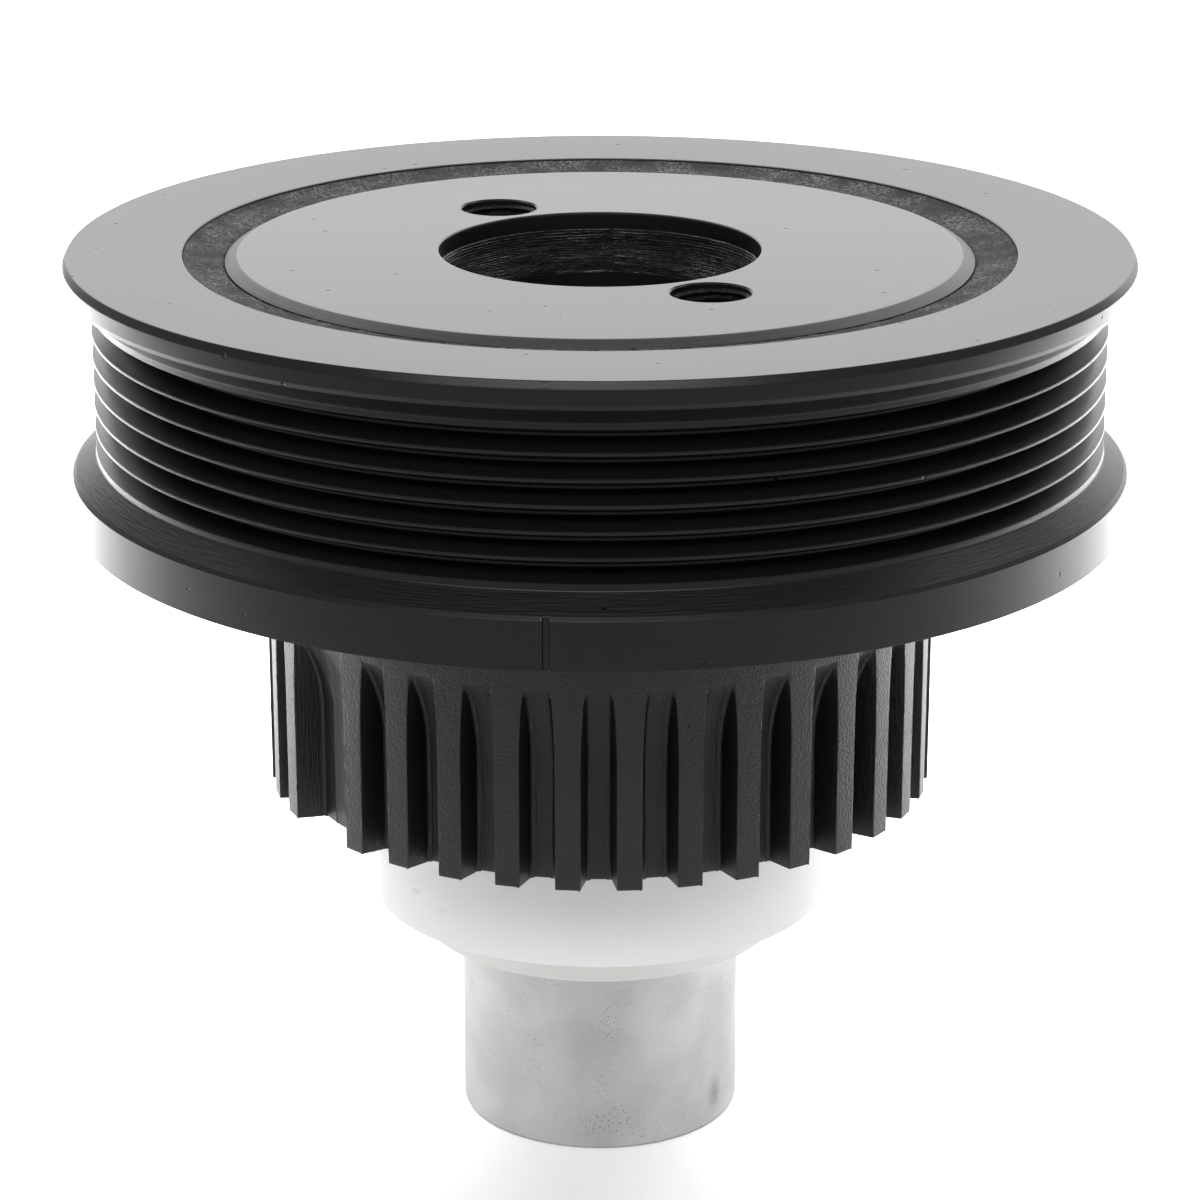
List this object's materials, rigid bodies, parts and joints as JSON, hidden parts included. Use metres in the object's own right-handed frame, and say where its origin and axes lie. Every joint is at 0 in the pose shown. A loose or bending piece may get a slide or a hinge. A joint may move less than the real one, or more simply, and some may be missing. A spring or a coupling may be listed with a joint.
{
  "type": "harmonic balancer",
  "caption": "Black iron crankshaft damper: ribbed-belt ring on a rubber ring round a hub with a bolt recess, toothed trigger drum, white dust collar and ground seal journal.",
  "frame": {"origin": "centre of the seal journal's end face, which the part stands on", "axes": "+Z along the axis towards the front disc; the timing mark and a tooth are on -Y"},
  "size_m": [0.1566, 0.1566, 0.1368],
  "materials": {
    "coated_iron": "satin black coating over turned and cast iron",
    "rubber": "matt black rubber",
    "white_plastic": "satin white moulded plastic",
    "ground_iron": "bare ground iron of the seal journal"
  },
  "bodies": {
    "root": {"hub": "coated_iron", "rubber_ring": "rubber", "pulley_ring": "coated_iron", "dust_collar": "white_plastic"}
  },
  "joints": []
}
